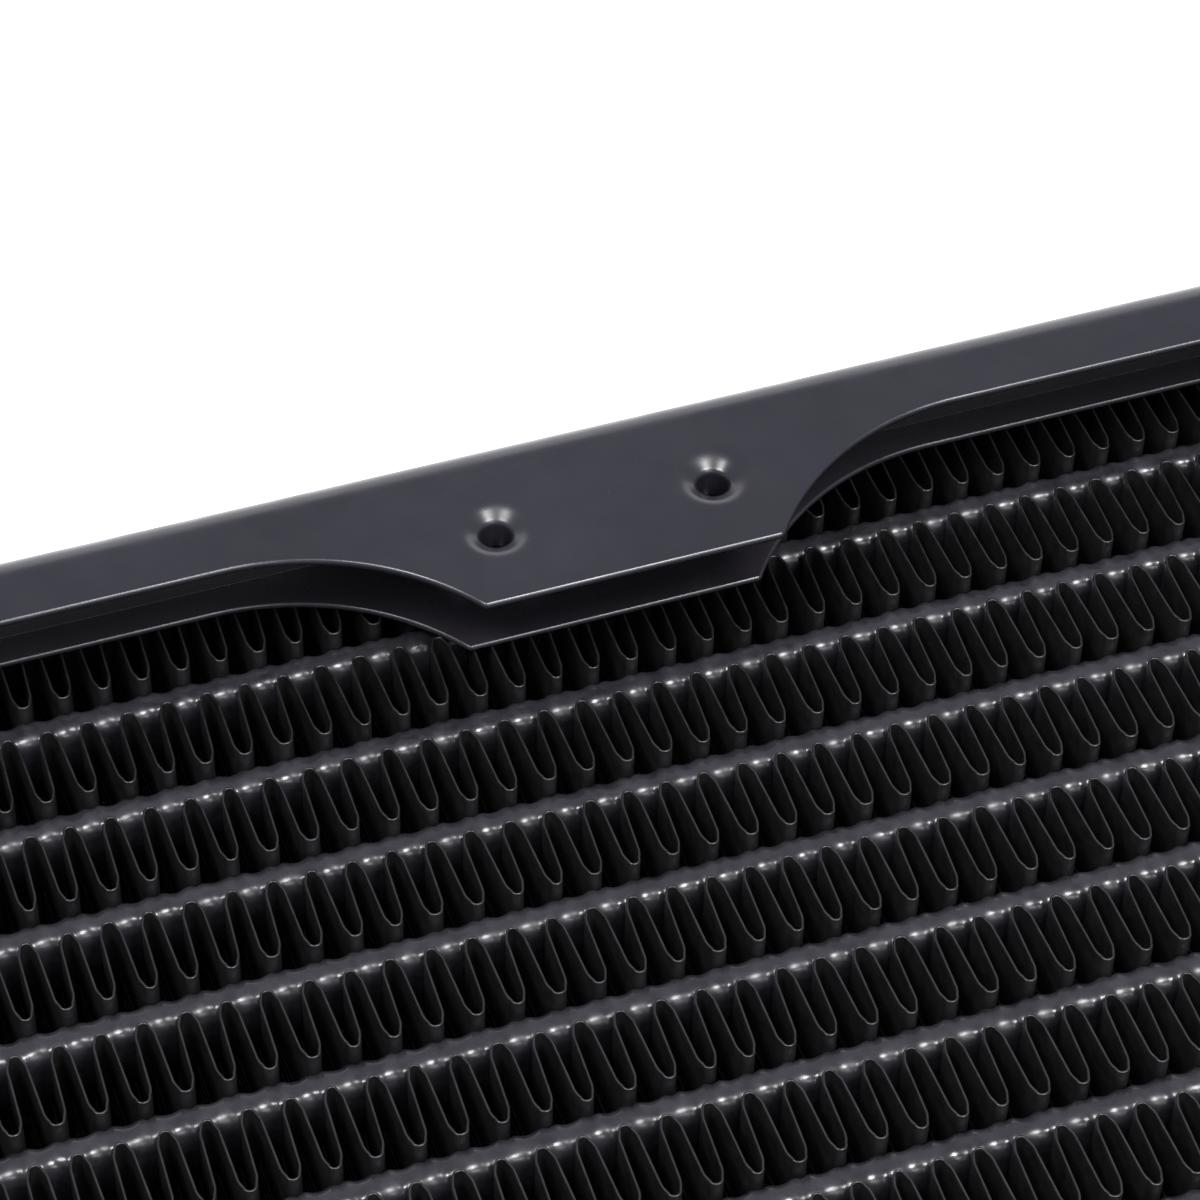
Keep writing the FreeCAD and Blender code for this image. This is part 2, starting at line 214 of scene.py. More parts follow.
def flat_region(bm, outline, z, holes, up):
    """Fills an outline at height z, leaving round holes, with its faces turned up or down."""
    points = list(outline)
    edges = [(i, (i + 1) % len(outline)) for i in range(len(outline))]
    for ring in holes:
        first = len(points)
        points += ring
        edges += [(first + i, first + (i + 1) % len(ring)) for i in range(len(ring))]
    found, _, faces, _, _, _ = delaunay_2d_cdt([Vector(p) for p in points], edges, [], 0, 1e-5)
    verts = [bm.verts.new((p.x, p.y, z)) for p in found]

    def inside(x, y):
        crossings = 0
        for i, (x0, y0) in enumerate(outline):
            x1, y1 = outline[(i + 1) % len(outline)]
            if (y0 > y) != (y1 > y) and x < x0 + (y - y0) * (x1 - x0) / (y1 - y0):
                crossings += 1
        return crossings % 2 == 1

    centres = [(sum(p[0] for p in ring) / len(ring), sum(p[1] for p in ring) / len(ring))
               for ring in holes]
    for face in faces:
        x = sum(found[i].x for i in face) / len(face)
        y = sum(found[i].y for i in face) / len(face)
        in_hole = any(math.hypot(x - cx, y - cy) < DISH_RADIUS for cx, cy in centres)
        if inside(x, y) and not in_hole:
            made = bm.faces.new([verts[i] for i in face])
            made.normal_update()
            if (made.normal.z > 0) != up:
                made.normal_flip()


def circle(x, y, radius, count=48):
    angles = [2 * math.pi * i / count for i in range(count)]
    return [(x + radius * math.cos(a), y + radius * math.sin(a)) for a in angles]


# Side rails and guard strips ---------------------------------------------------------------------

def rail_columns():
    """Places along the rail where its bends and web have a column of points."""
    count = RAIL_COLUMNS
    return [-FLANGE_END + 2 * FLANGE_END * i / count for i in range(count + 1)]


def flange_outline(bend_y, narrow_y, tab_y):
    """Outline of a flange: the bend line, then the edge that narrows in front of each fan."""
    arc_x = FAN_SIZE / 2 - TAB_ARC_OFFSET
    arc_y = narrow_y - TAB_ARC_RADIUS
    start = math.asin((tab_y - arc_y) / TAB_ARC_RADIUS)
    steps = 28
    turn = [start + (math.pi / 2 - start) * i / steps for i in range(steps + 1)]
    radius = TAB_ARC_RADIUS
    shoulder = [(arc_x + radius * math.cos(a), arc_y + radius * math.sin(a)) for a in turn]
    outline = [(x, bend_y) for x in reversed(rail_columns())]
    outline.append((-FLANGE_END, tab_y))
    for fan_x in FAN_CENTRES:
        outline += [(fan_x - x, y) for x, y in shoulder]
        outline += [(fan_x + x, y) for x, y in reversed(shoulder)]
    outline.append((FLANGE_END, tab_y))
    return outline


def hole_positions():
    return [(x + side * HALF_SPACING_X, HOLE_LINE) for x in FAN_CENTRES for side in (-1, 1)]


def formed_hole(bm, x, y):
    """The dished rim and tapped collar of one formed hole, as the upper face of the sheet."""
    cone_end = TAP_RADIUS + RIM_RADIUS * (1 - math.sin(math.radians(DISH_SLOPE)))
    full_slope_at = 0.8
    steps = 14
    profile = [(DISH_RADIUS, HEIGHT)]
    for i in range(1, steps + 1):
        radius, z = profile[-1]
        share = min(1.0, (i - 0.5) / steps / full_slope_at)
        slope = math.radians(DISH_SLOPE) * share * share * (3 - 2 * share)
        fall = (DISH_RADIUS - cone_end) / steps
        profile.append((radius - fall, z - fall * math.tan(slope)))
    centre_z = profile[-1][1] - RIM_RADIUS * math.cos(math.radians(DISH_SLOPE))
    for i in range(1, 9):
        slope = math.radians(DISH_SLOPE + (90 - DISH_SLOPE) * i / 8)
        radius = TAP_RADIUS + RIM_RADIUS * (1 - math.sin(slope))
        profile.append((radius, centre_z + RIM_RADIUS * math.cos(slope)))
    collar_end = HEIGHT - COLLAR_DEPTH
    profile += [(TAP_RADIUS, (centre_z + collar_end) / 2), (TAP_RADIUS, collar_end)]
    rows = [[(px, py, z) for px, py in circle(x, y, radius)] for radius, z in profile]
    grid(bm, rows, closed_columns=True)


def bend_rows(centre_y, centre_z, radius, start, end, steps=12):
    """Points (y, z) of a round bend, from one angle in degrees to another."""
    angles = [math.radians(start + (end - start) * i / steps) for i in range(steps + 1)]
    return [(centre_y + radius * math.cos(a), centre_z + radius * math.sin(a)) for a in angles]


def sheet_modifiers(piece, thickness, rounding):
    """Gives a folded face its thickness and soft cut edges."""
    solid = piece.modifiers.new("sheet", "SOLIDIFY")
    solid.thickness = thickness * MM
    solid.offset = -1
    solid.use_even_offset = True
    bevel = piece.modifiers.new("cut_edge", "BEVEL")
    bevel.width = rounding * MM
    bevel.segments = 3
    bevel.limit_method = "ANGLE"
    bevel.angle_limit = math.radians(50)
    bevel.use_clamp_overlap = False
    normals = piece.modifiers.new("even_normals", "WEIGHTED_NORMAL")
    normals.weight = 100
    normals.keep_sharp = False


def rail_mesh():
    """The outer face of one folded rail: two flanges with formed holes, two bends, the web and tongues."""
    bm = bmesh.new()
    bend_y = HALF_WIDTH - RAIL_BEND
    outline = flange_outline(bend_y, HOLE_LINE + NARROW_EDGE, HOLE_LINE + TAB_EDGE)
    holes = [circle(x, y, DISH_RADIUS) for x, y in hole_positions()]
    flat_region(bm, outline, HEIGHT, holes, up=True)
    for x, y in hole_positions():
        formed_hole(bm, x, y)
    lower = bm.copy()
    flip_z(lower)
    mesh = bpy.data.meshes.new("lower")
    lower.to_mesh(mesh)
    bm.from_mesh(mesh)
    bpy.data.meshes.remove(mesh)
    lower.free()
    tongue = [(HALF_WIDTH, HEIGHT - TONGUE_LOW), (HALF_WIDTH, HEIGHT / 2), (HALF_WIDTH, TONGUE_LOW)]
    profile = bend_rows(bend_y, HEIGHT - RAIL_BEND, RAIL_BEND, 90, 0)
    profile += tongue
    profile += bend_rows(bend_y, RAIL_BEND, RAIL_BEND, 0, -90)
    grid(bm, [[(x, y, z) for y, z in profile] for x in rail_columns()])
    for near, far in ((RAIL_LOW.x - MIDDLE_X, -FLANGE_END), (FLANGE_END, RAIL_HIGH.x - MIDDLE_X)):
        grid(bm, [[(x, y, z) for y, z in tongue] for x in (near, far)])
    bmesh.ops.remove_doubles(bm, verts=bm.verts[:], dist=1e-3)
    bmesh.ops.recalc_face_normals(bm, faces=bm.faces[:])
    top = max(bm.faces, key=lambda f: f.calc_center_median().z)
    if top.normal.z < 0:
        bmesh.ops.reverse_faces(bm, faces=bm.faces[:])
    return bm


def guard_mesh():
    """The upper face of one guard strip: a level plate that turns up into a lip against the web."""
    bm = bmesh.new()
    plate = HEIGHT - GUARD_DEPTH
    inside = HALF_WIDTH - RAIL_SHEET - GUARD_SHEET
    radius = GUARD_BEND - GUARD_SHEET
    bend_y = inside - radius
    outline = flange_outline(bend_y, HOLE_LINE + NARROW_EDGE + GUARD_SETBACK,
                             HOLE_LINE + TAB_EDGE + GUARD_SETBACK)
    flat_region(bm, outline, plate, [], up=True)
    profile = bend_rows(bend_y, plate + radius, radius, -90, 0, 6) + [(inside, plate + GUARD_LIP)]
    grid(bm, [[(x, y, z) for y, z in profile] for x in rail_columns()])
    bmesh.ops.remove_doubles(bm, verts=bm.verts[:], dist=1e-3)
    bmesh.ops.recalc_face_normals(bm, faces=bm.faces[:])
    flat = max(bm.faces, key=lambda f: f.calc_area())
    if flat.normal.z < 0:
        bmesh.ops.reverse_faces(bm, faces=bm.faces[:])
    for vert in bm.verts:
        vert.co.x *= 1 - GUARD_END_GAP / FLANGE_END
    return bm


def side_rails(material):
    for node in ("side_rail_left", "side_rail_right"):
        bm = rail_mesh()
        if node.endswith("right"):
            flip_y(bm)
        piece = finish_mesh(node + "_look", bm, node, material)
        sheet_modifiers(piece, RAIL_SHEET, CUT_EDGE_ROUNDING)


def guard_strips(material):
    for node in GUARD_NODES:
        bm = guard_mesh()
        if "lower" in node:
            flip_z(bm)
        if node.endswith("right"):
            flip_y(bm)
        piece = finish_mesh(node + "_look", bm, node, material)
        sheet_modifiers(piece, GUARD_SHEET, GUARD_EDGE_ROUNDING)


# Folded fins -------------------------------------------------------------------------------------

def near_crown(node):
    """Where one of a strip's near crowns stands."""
    if node not in NEAR_CROWNS:
        NEAR_CROWNS[node] = RANDOM.uniform(0, FIN_PERIOD)
    return NEAR_CROWNS[node]


def strip_start(node, folds):
    """Where a strip's first wall stands, as near as can be to leaving the same room at both ends."""
    centred = -folds * FIN_PERIOD / 4
    shift = near_crown(node) - centred - 0.75 * FIN_PERIOD
    return centred + (shift + FIN_PERIOD / 2) % FIN_PERIOD - FIN_PERIOD / 2


def folded_line(node, half_height, end):
    """Middle line of a folded strip as (x, y) points, and the pairs of points beside each window."""
    half_fold = FIN_PERIOD / 2
    folds = int(2 * (end - 1.3 * half_fold) / half_fold)
    start = strip_start(node, folds)
    reach = half_height - FIN_SHEET / 2
    straight = reach - CROWN_CORNER
    window = 0.5 * LOUVRE_HALF / straight
    cuts = (0.0, 0.035, 0.07, 0.5 - window, 0.5 + window, 0.93, 0.965, 1.0)
    corner_steps = 5
    phase = RANDOM.uniform(0, 100)
    places = []
    for i in range(folds + 1):
        x = start + i * half_fold
        drift = FIN_DRIFT * noise.noise(Vector((x * DRIFT_WAVES_PER_MM + phase, 3.0, 0)))
        places.append(x + drift + RANDOM.uniform(-FIN_DENT, FIN_DENT))
    slack = [abs(RANDOM.gauss(0, FIN_SLACK)) for _ in range(folds + 2)]
    points = []
    windows = []

    def wall_x(i, t):
        """Where wall i stands at share t of the way from the near crowns to the far ones."""
        towards = 1 if i % 2 == 0 else -1
        pinch = CROWN_PINCH * towards * (2 * t - 1) ** 5
        lean = WALL_LEAN * noise.noise(Vector((places[i] * LEAN_WAVES_PER_MM + phase, 0, 0)))
        return places[i] + pinch + lean * (2 * t - 1)

    for i in range(folds + 1):
        side = 1 if i % 2 == 0 else -1
        first = len(points)
        for t in cuts:
            y = -side * (straight - slack[i]) * (1 - t) + side * (straight - slack[i + 1]) * t
            points.append((wall_x(i, t if side > 0 else 1 - t), y))
        windows.append((first + 3, first + 4))
        if i == folds:
            break
        end_t = 1 if side > 0 else 0
        x_from, x_to = wall_x(i, end_t), wall_x(i + 1, end_t)
        base = side * (straight - slack[i + 1])
        wide = min(CROWN_CORNER, 0.47 * (x_to - x_from))
        for k in range(1, corner_steps + 1):
            a = math.pi / 2 * k / corner_steps
            points.append((x_from + wide * (1 - math.cos(a)), base + side * CROWN_CORNER * math.sin(a)))
        for k in range(corner_steps):
            a = math.pi / 2 * k / corner_steps
            points.append((x_to - wide * (1 - math.sin(a)), base + side * CROWN_CORNER * math.cos(a)))
    return points, windows


def line_normals(points):
    """Unit normals of a line of (x, y) points."""
    found = []
    for i in range(len(points)):
        a = points[max(i - 1, 0)]
        b = points[min(i + 1, len(points) - 1)]
        dx, dy = b[0] - a[0], b[1] - a[1]
        length = math.hypot(dx, dy) or 1
        found.append((-dy / length, dx / length))
    return found


def louvres(bm, wall_x, wall_y, low, high):
    """Tilted slats that fill the window in the middle of one fin wall."""
    count = int((high - low) / LOUVRE_PITCH)
    half = LOUVRE_PITCH * LOUVRE_OVERLAP
    x0, x1 = wall_x
    y0, y1 = wall_y
    for k in range(count):
        z = low + (k + 0.5) * (high - low) / count
        tilt = LOUVRE_TILT if k < count / 2 else -LOUVRE_TILT
        dx, dz = half * math.sin(tilt), half * math.cos(tilt)
        nx, nz = LOUVRE_SHEET / 2 * math.cos(tilt), -LOUVRE_SHEET / 2 * math.sin(tilt)
        section = [(-dx + nx, -dz + nz), (dx + nx, dz + nz), (dx - nx, dz - nz), (-dx - nx, -dz - nz)]
        near = [bm.verts.new((x0 + sx, y0, z + sz)) for sx, sz in section]
        far = [bm.verts.new((x1 + sx, y1, z + sz)) for sx, sz in section]
        for j in range(4):
            bm.faces.new((near[j], near[(j + 1) % 4], far[(j + 1) % 4], far[j]))
        bm.faces.new(near[::-1])
        bm.faces.new(far)


def fin_mesh(node):
    """One folded strip with rounded edges and a window of louvres in each wall."""
    low, high = box_mm(node)
    middle_y = (low.y + high.y) / 2
    half_height = (high.y - low.y) / 2
    points, walls = folded_line(node, half_height, FLANGE_END - FIN_END_GAP)
    normals = line_normals(points)
    h = FIN_SHEET / 2
    edge = 0.7 * h
    bottom_window = low.z + LOUVRE_DEPTH
    top_window = high.z - LOUVRE_DEPTH
    # (shift across the sheet, height) round the section of the sheet, from the middle of its lower edge
    section = [(0, low.z), (edge, low.z + 0.3 * h), (h, low.z + h), (h, bottom_window), (h, top_window),
               (h, high.z - h), (edge, high.z - 0.3 * h), (0, high.z), (-edge, high.z - 0.3 * h),
               (-h, high.z - h), (-h, top_window), (-h, bottom_window), (-h, low.z + h),
               (-edge, low.z + 0.3 * h)]
    bm = bmesh.new()
    rows = []
    for (x, y), (nx, ny) in zip(points, normals):
        rows.append([bm.verts.new((x + nx * shift, middle_y + y + ny * shift, z))
                     for shift, z in section])
    starts = set(first for first, _ in walls)
    count = len(section)
    for i in range(len(rows) - 1):
        for j in range(count):
            if i in starts and j in (3, 10):
                continue
            k = (j + 1) % count
            bm.faces.new((rows[i][j], rows[i][k], rows[i + 1][k], rows[i + 1][j]))
    for first, last in walls:
        # the thickness of the sheet round each window
        bm.faces.new((rows[first][4], rows[first][3], rows[first][11], rows[first][10]))
        bm.faces.new((rows[last][3], rows[last][4], rows[last][10], rows[last][11]))
        bm.faces.new((rows[first][3], rows[last][3], rows[last][11], rows[first][11]))
        bm.faces.new((rows[first][4], rows[first][10], rows[last][10], rows[last][4]))
        (x0, y0), (x1, y1) = points[first], points[last]
        louvres(bm, (x0, x1), (middle_y + y0, middle_y + y1), bottom_window, top_window)
    bm.faces.new(rows[0])
    bm.faces.new(rows[-1][::-1])
    bmesh.ops.recalc_face_normals(bm, faces=bm.faces[:])
    return bm


def fin_strips(material):
    for node in FIN_NODES:
        finish_mesh(node + "_look", fin_mesh(node), node, material, sharp=60)


# Flat tubes --------------------------------------------------------------------------------------

def tube_section(thickness, low, high, nose_steps=10, flank_steps=4):
    """Points (y, z) round a flat tube's section."""
    r = thickness / 2
    top = [(r * math.cos(math.pi * i / nose_steps), high - r + r * math.sin(math.pi * i / nose_steps))
           for i in range(nose_steps + 1)]
    bottom = [(-y, low + high - z) for y, z in top]
    left = [(-r, high - r + (low - high + 2 * r) * i / flank_steps) for i in range(1, flank_steps)]
    right = [(r, low + r + (high - low - 2 * r) * i / flank_steps) for i in range(1, flank_steps)]
    return top + left + bottom + right


def fillet(x, crown):
    """How far solder stands out beside the crowns of a strip, one of which is centred at crown."""
    from_crown = abs((x - crown + FIN_PERIOD / 2) % FIN_PERIOD - FIN_PERIOD / 2)
    return FILLET_SWELL * math.exp(-((from_crown - FILLET_REACH) / FILLET_WIDTH) ** 2)


def tube_mesh(node):
    """A flat tube with an uneven, painted nose, and fillets of solder beside each fin crown."""
    low, high = box_mm(node)
    middle_y = (low.y + high.y) / 2
    middle_z = (low.z + high.z) / 2
    thickness = high.y - low.y
    flank_z = high.z - middle_z - thickness / 2
    outline = tube_section(thickness, low.z, high.z)
    columns = int((high.x - low.x) / (FIN_PERIOD / 12))
    phase = RANDOM.uniform(0, 100)
    number = int(node[-2:])
    far_crown_before = near_crown("fin_strip_%02d" % number) + FIN_PERIOD / 2
    near_crown_after = near_crown("fin_strip_%02d" % (number + 1))
    bm = bmesh.new()
    rows = []
    for i in range(columns + 1):
        x = low.x - MIDDLE_X + (high.x - low.x) * i / columns
        swells = {-1: fillet(x, far_crown_before), 1: fillet(x, near_crown_after)}
        row = []
        for y, z in outline:
            nose = max(0.0, (abs(z - middle_z) - (high.z - middle_z - NOSE_HEIGHT)) / NOSE_HEIGHT)
            lump = noise.noise(Vector((x * 0.9 + phase, middle_y + y * 0.6, z * 0.5)))
            lump += 0.15 * noise.noise(Vector((x * 1.9 + phase, middle_y + y * 0.9, z * 0.7)))
            swell = swells[1 if y > 0 else -1] * min(1.0, abs(y) / (thickness / 2) * 1.2)
            shift = nose * (TUBE_LUMP * lump + swell)
            above = max(abs(z - middle_z) - flank_z, 0)
            length = math.hypot(y, above) or 1
            rise = (shift - TUBE_LUMP * nose) * above / length
            row.append((x, middle_y + y + shift * y / length, z + (rise if z > middle_z else -rise)))
        rows.append(row)
    made = grid(bm, rows, closed_columns=True)
    bore = tube_section(thickness - 2 * TUBE_WALL, low.z + TUBE_WALL, high.z - TUBE_WALL)
    inner = grid(bm, [[(x, middle_y + y, z) for y, z in bore]
                      for x in (low.x - MIDDLE_X, high.x - MIDDLE_X)], closed_columns=True)
    for outer_ring, inner_ring in ((made[0], inner[0]), (made[-1], inner[-1])):
        for j in range(len(outer_ring)):
            k = (j + 1) % len(outer_ring)
            bm.faces.new((outer_ring[j], outer_ring[k], inner_ring[k], inner_ring[j]))
    bmesh.ops.recalc_face_normals(bm, faces=bm.faces[:])
    return bm


def tubes(material):
    for node in TUBE_NODES:
        finish_mesh(node + "_look", tube_mesh(node), node, material, sharp=50)


# Turned pieces -----------------------------------------------------------------------------------

def thread_tooth(x, angle):
    """Share of the depth, from 0 at the root to 1 at the crest, of a right-hand thread along +X."""
    phase = (x / THREAD_PITCH - angle / (2 * math.pi)) % 1.0
    height = 1 - abs(2 * phase - 1)
    return min(1.0, max(0.0, (height - 0.15) / 0.7))


def turned_mesh(profile, y, z, count=72, closed=True):
    """A turned piece about an axis along X. profile holds (x, radius, thread depth at this point)."""
    bm = bmesh.new()
    rows = []
    for x, radius, depth in profile:
        row = []
        for i in range(count):
            a = 2 * math.pi * i / count
            r = radius + depth * thread_tooth(x, a)
            row.append((x, y + r * math.cos(a), z + r * math.sin(a)))
        rows.append(row)
    grid(bm, rows, closed_rows=closed, closed_columns=True)
    bmesh.ops.remove_doubles(bm, verts=bm.verts[:], dist=1e-4)
    bmesh.ops.recalc_face_normals(bm, faces=bm.faces[:])
    return bm


def thread_rows(x_from, x_to, radius, depth, step=THREAD_PITCH / 10, fade=0.8):
    """Profile points along a thread that fades in and out at its two ends."""
    count = max(4, int(abs(x_to - x_from) / step))
    rows = []
    for i in range(count + 1):
        x = x_from + (x_to - x_from) * i / count
        near_end = min(abs(x - x_from), abs(x - x_to))
        rows.append((x, radius, depth * min(1.0, near_end / fade)))
    return rows


def bush_profile(low, high, outward):
    """Profile of a threaded bush, from its inner end round its outside to its mouth and down the thread."""
    inner, mouth = (low.x, high.x) if outward > 0 else (high.x, low.x)
    inner -= MIDDLE_X
    mouth -= MIDDLE_X
    collar_radius = (high.y - low.y) / 2
    collar = mouth - outward * BUSH_COLLAR_LENGTH
    sleeve = BUSH_SLEEVE_RADIUS
    bore = BUSH_BORE
    ease = 0.25
    outside = [(inner, bore + 0.9, 0), (inner, sleeve - ease, 0), (inner + outward * ease, sleeve, 0),
               (collar, sleeve, 0), (collar, collar_radius - ease, 0),
               (collar + outward * ease, collar_radius, 0), (mouth - outward * 0.5, collar_radius, 0),
               (mouth - outward * 0.15, collar_radius - 0.15, 0),
               (mouth, collar_radius - 0.5, 0), (mouth, bore + THREAD_DEPTH + 0.25, 0),
               (mouth - outward * 0.15, bore + THREAD_DEPTH, 0), (mouth - outward * 0.8, bore + 0.1, 0)]
    thread = thread_rows(mouth - outward * 0.8, inner + outward * 0.6, bore, THREAD_DEPTH)
    return outside + thread


def bushes(material):
    for node in ("inlet_bush", "outlet_bush", "bleed_bush"):
        low, high = box_mm(node)
        outward = -1 if node == "bleed_bush" else 1
        bm = turned_mesh(bush_profile(low, high, outward), (low.y + high.y) / 2, (low.z + high.z) / 2)
        finish_mesh(node + "_look", bm, node, material, sharp=30)


def bleed_plug(material):
    """A stop plug: threaded shank, groove for its O-ring, knurled head and hexagon socket."""
    low, high = box_mm("bleed_plug")
    y, z = (low.y + high.y) / 2, (low.z + high.z) / 2
    face = low.x - MIDDLE_X
    end = high.x - MIDDLE_X
    head_radius = (high.y - low.y) / 2
    shank, key_radius = PLUG_SHANK_RADIUS, SOCKET_CORNER_RADIUS
    under = face + PLUG_HEAD_LENGTH
    ease = 0.3
    count = PLUG_POINTS_ROUND
    groove = under - SEAL_GROOVE_DEPTH
    profile = [(face, key_radius + 0.5, 0), (face, head_radius - 0.6, 0),
               (face + 0.25, head_radius - 0.2, 0), (face + 0.6, head_radius, 0),
               (under - ease, head_radius, 0), (under, head_radius - ease, 0),
               (under, SEAL_GROOVE_RADIUS, 0), (groove, SEAL_GROOVE_RADIUS, 0), (groove, shank, 0),
               (under - 0.1, shank, 0)]
    profile += thread_rows(under, end - 0.6, shank, THREAD_DEPTH)
    profile += [(end, shank - 0.6, 0), (end, 3.2, 0), (end - 0.02, 0.02, 0)]
    bm = turned_mesh(profile, y, z, count, closed=False)
    floor_x = face + SOCKET_DEPTH
    hexagon = [(face, key_radius + 0.5), (face + 0.35, key_radius + 0.12), (floor_x, key_radius + 0.12),
               (floor_x + 0.6, 0.02)]
    rows = []
    for x, radius in hexagon:
        row = []
        for i in range(count):
            a = 2 * math.pi * i / count
            turn = (a + math.pi / 6) % (math.pi / 3) - math.pi / 6
            flat = SOCKET_HALF_WIDTH / math.cos(turn)
            r = radius if x == face or radius < 1 else min(radius, flat)
            row.append((x, y + r * math.cos(a), z + r * math.sin(a)))
        rows.append(row)
    grid(bm, rows, closed_columns=True)
    knurl(bm, y, z, head_radius, face + 0.6, under - ease)
    bmesh.ops.remove_doubles(bm, verts=bm.verts[:], dist=1e-4)
    bmesh.ops.recalc_face_normals(bm, faces=bm.faces[:])
    finish_mesh("bleed_plug_look", bm, "bleed_plug", material, body="bleed_screw", sharp=28)


def knurl(bm, y, z, radius, x_from, x_to):
    """Pulls every third line of points round a head inwards, as shallow straight grooves."""
    for vert in bm.verts:
        dy, dz = vert.co.y - y, vert.co.z - z
        if x_from - 1e-4 <= vert.co.x <= x_to + 1e-4 and abs(math.hypot(dy, dz) - radius) < 1e-3:
            step = round(math.atan2(dz, dy) / (2 * math.pi) * PLUG_POINTS_ROUND)
            if step % 3 == 0:
                vert.co.y = y + dy * (1 - KNURL_SHARE)
                vert.co.z = z + dz * (1 - KNURL_SHARE)


def o_ring(material):
    low, high = box_mm("bleed_o_ring")
    y, z = (low.y + high.y) / 2, (low.z + high.z) / 2
    x = (low.x + high.x) / 2 - MIDDLE_X
    section = (high.x - low.x) / 2
    ring = (high.y - low.y) / 2 - section
    steps = 24
    profile = [(along, radius, 0) for along, radius in circle(x, ring, section, steps)]
    bm = turned_mesh(profile, y, z, 96)
    finish_mesh("bleed_o_ring_look", bm, "bleed_o_ring", material, body="bleed_seal", sharp=80)


# Materials ---------------------------------------------------------------------------------------

class Nodes:
    """A node material being built, with short calls for the nodes that the finishes share."""

    def __init__(self, name):
        self.material = bpy.data.materials.new(name)
        self.material.use_nodes = True
        self.tree = self.material.node_tree
        self.shader = self.tree.nodes["Principled BSDF"]
        self.place = self.add("ShaderNodeTexCoord").outputs["Object"]

    def add(self, kind, **settings):
        node = self.tree.nodes.new(kind)
        for key, value in settings.items():
            setattr(node, key, value)
        return node

    def link(self, output, socket):
        self.tree.links.new(output, socket)

    def noise(self, per_mm, detail=2.0, rough=0.5):
        """Noise with about this many lumps per millimetre."""
        node = self.add("ShaderNodeTexNoise")
        node.inputs["Scale"].default_value = per_mm / MM
        node.inputs["Detail"].default_value = detail
        node.inputs["Roughness"].default_value = rough
        self.link(self.place, node.inputs["Vector"])
        return node.outputs["Fac"]

    def ramp(self, value, stops):
        """A colour ramp with (position, colour) stops."""
        node = self.add("ShaderNodeValToRGB")
        elements = node.color_ramp.elements
        while len(elements) < len(stops):
            elements.new(0.5)
        for element, (position, colour) in zip(elements, stops):
            element.position = position
            element.color = (*colour, 1)
        self.link(value, node.inputs["Fac"])
        return node.outputs["Color"]

    def span(self, value, low, high, to_low, to_high):
        node = self.add("ShaderNodeMapRange", interpolation_type="SMOOTHSTEP")
        limits = {"From Min": low, "From Max": high, "To Min": to_low, "To Max": to_high}
        for key, number in limits.items():
            node.inputs[key].default_value = number
        self.link(value, node.inputs["Value"])
        return node.outputs["Result"]

    def bump(self, layers):
        """Stacked bumps: (height output, strength, depth in millimetres)."""
        normal = None
        for height, strength, depth in layers:
            node = self.add("ShaderNodeBump")
            node.inputs["Strength"].default_value = strength
            node.inputs["Distance"].default_value = depth * MM
            self.link(height, node.inputs["Height"])
            if normal:
                self.link(normal, node.inputs["Normal"])
            normal = node.outputs["Normal"]
        self.link(normal, self.shader.inputs["Normal"])

    def mix(self, factor, a, b):
        node = self.add("ShaderNodeMix", data_type="RGBA")
        self.link(factor, node.inputs["Factor"])
        for socket, value in ((node.inputs[6], a), (node.inputs[7], b)):
            if isinstance(value, tuple):
                socket.default_value = (*value, 1)
            else:
                self.link(value, socket)
        return node.outputs[2]


def black_paint(name, base, roughness, peel=0.35, orange=1.6):
    """Satin black powder paint: fine orange peel, faint clouding and pinhead specks."""
    n = Nodes(name)
    clouds = n.noise(0.06, 3.0)
    specks = n.noise(5.0, 1.0)
    dark = tuple(c * 0.86 for c in base)
    light = tuple(c * 1.16 for c in base)
    clouded = n.ramp(clouds, [(0.3, dark), (0.7, light)])
    speck_mask = n.span(specks, 0.74, 0.80, 0.0, 1.0)
    speck = tuple(min(1, c * 2.2) for c in base)
    n.link(n.mix(speck_mask, clouded, speck), n.shader.inputs["Base Color"])
    worn = n.span(n.noise(0.35, 3.0), 0.25, 0.75, roughness - 0.05, roughness + 0.06)
    n.link(worn, n.shader.inputs["Roughness"])
    n.bump([(n.noise(orange, 2.0), peel, 0.012), (n.noise(7.0, 2.0), peel, 0.004)])
    n.shader.inputs["Specular IOR Level"].default_value = 0.5
    return n.material


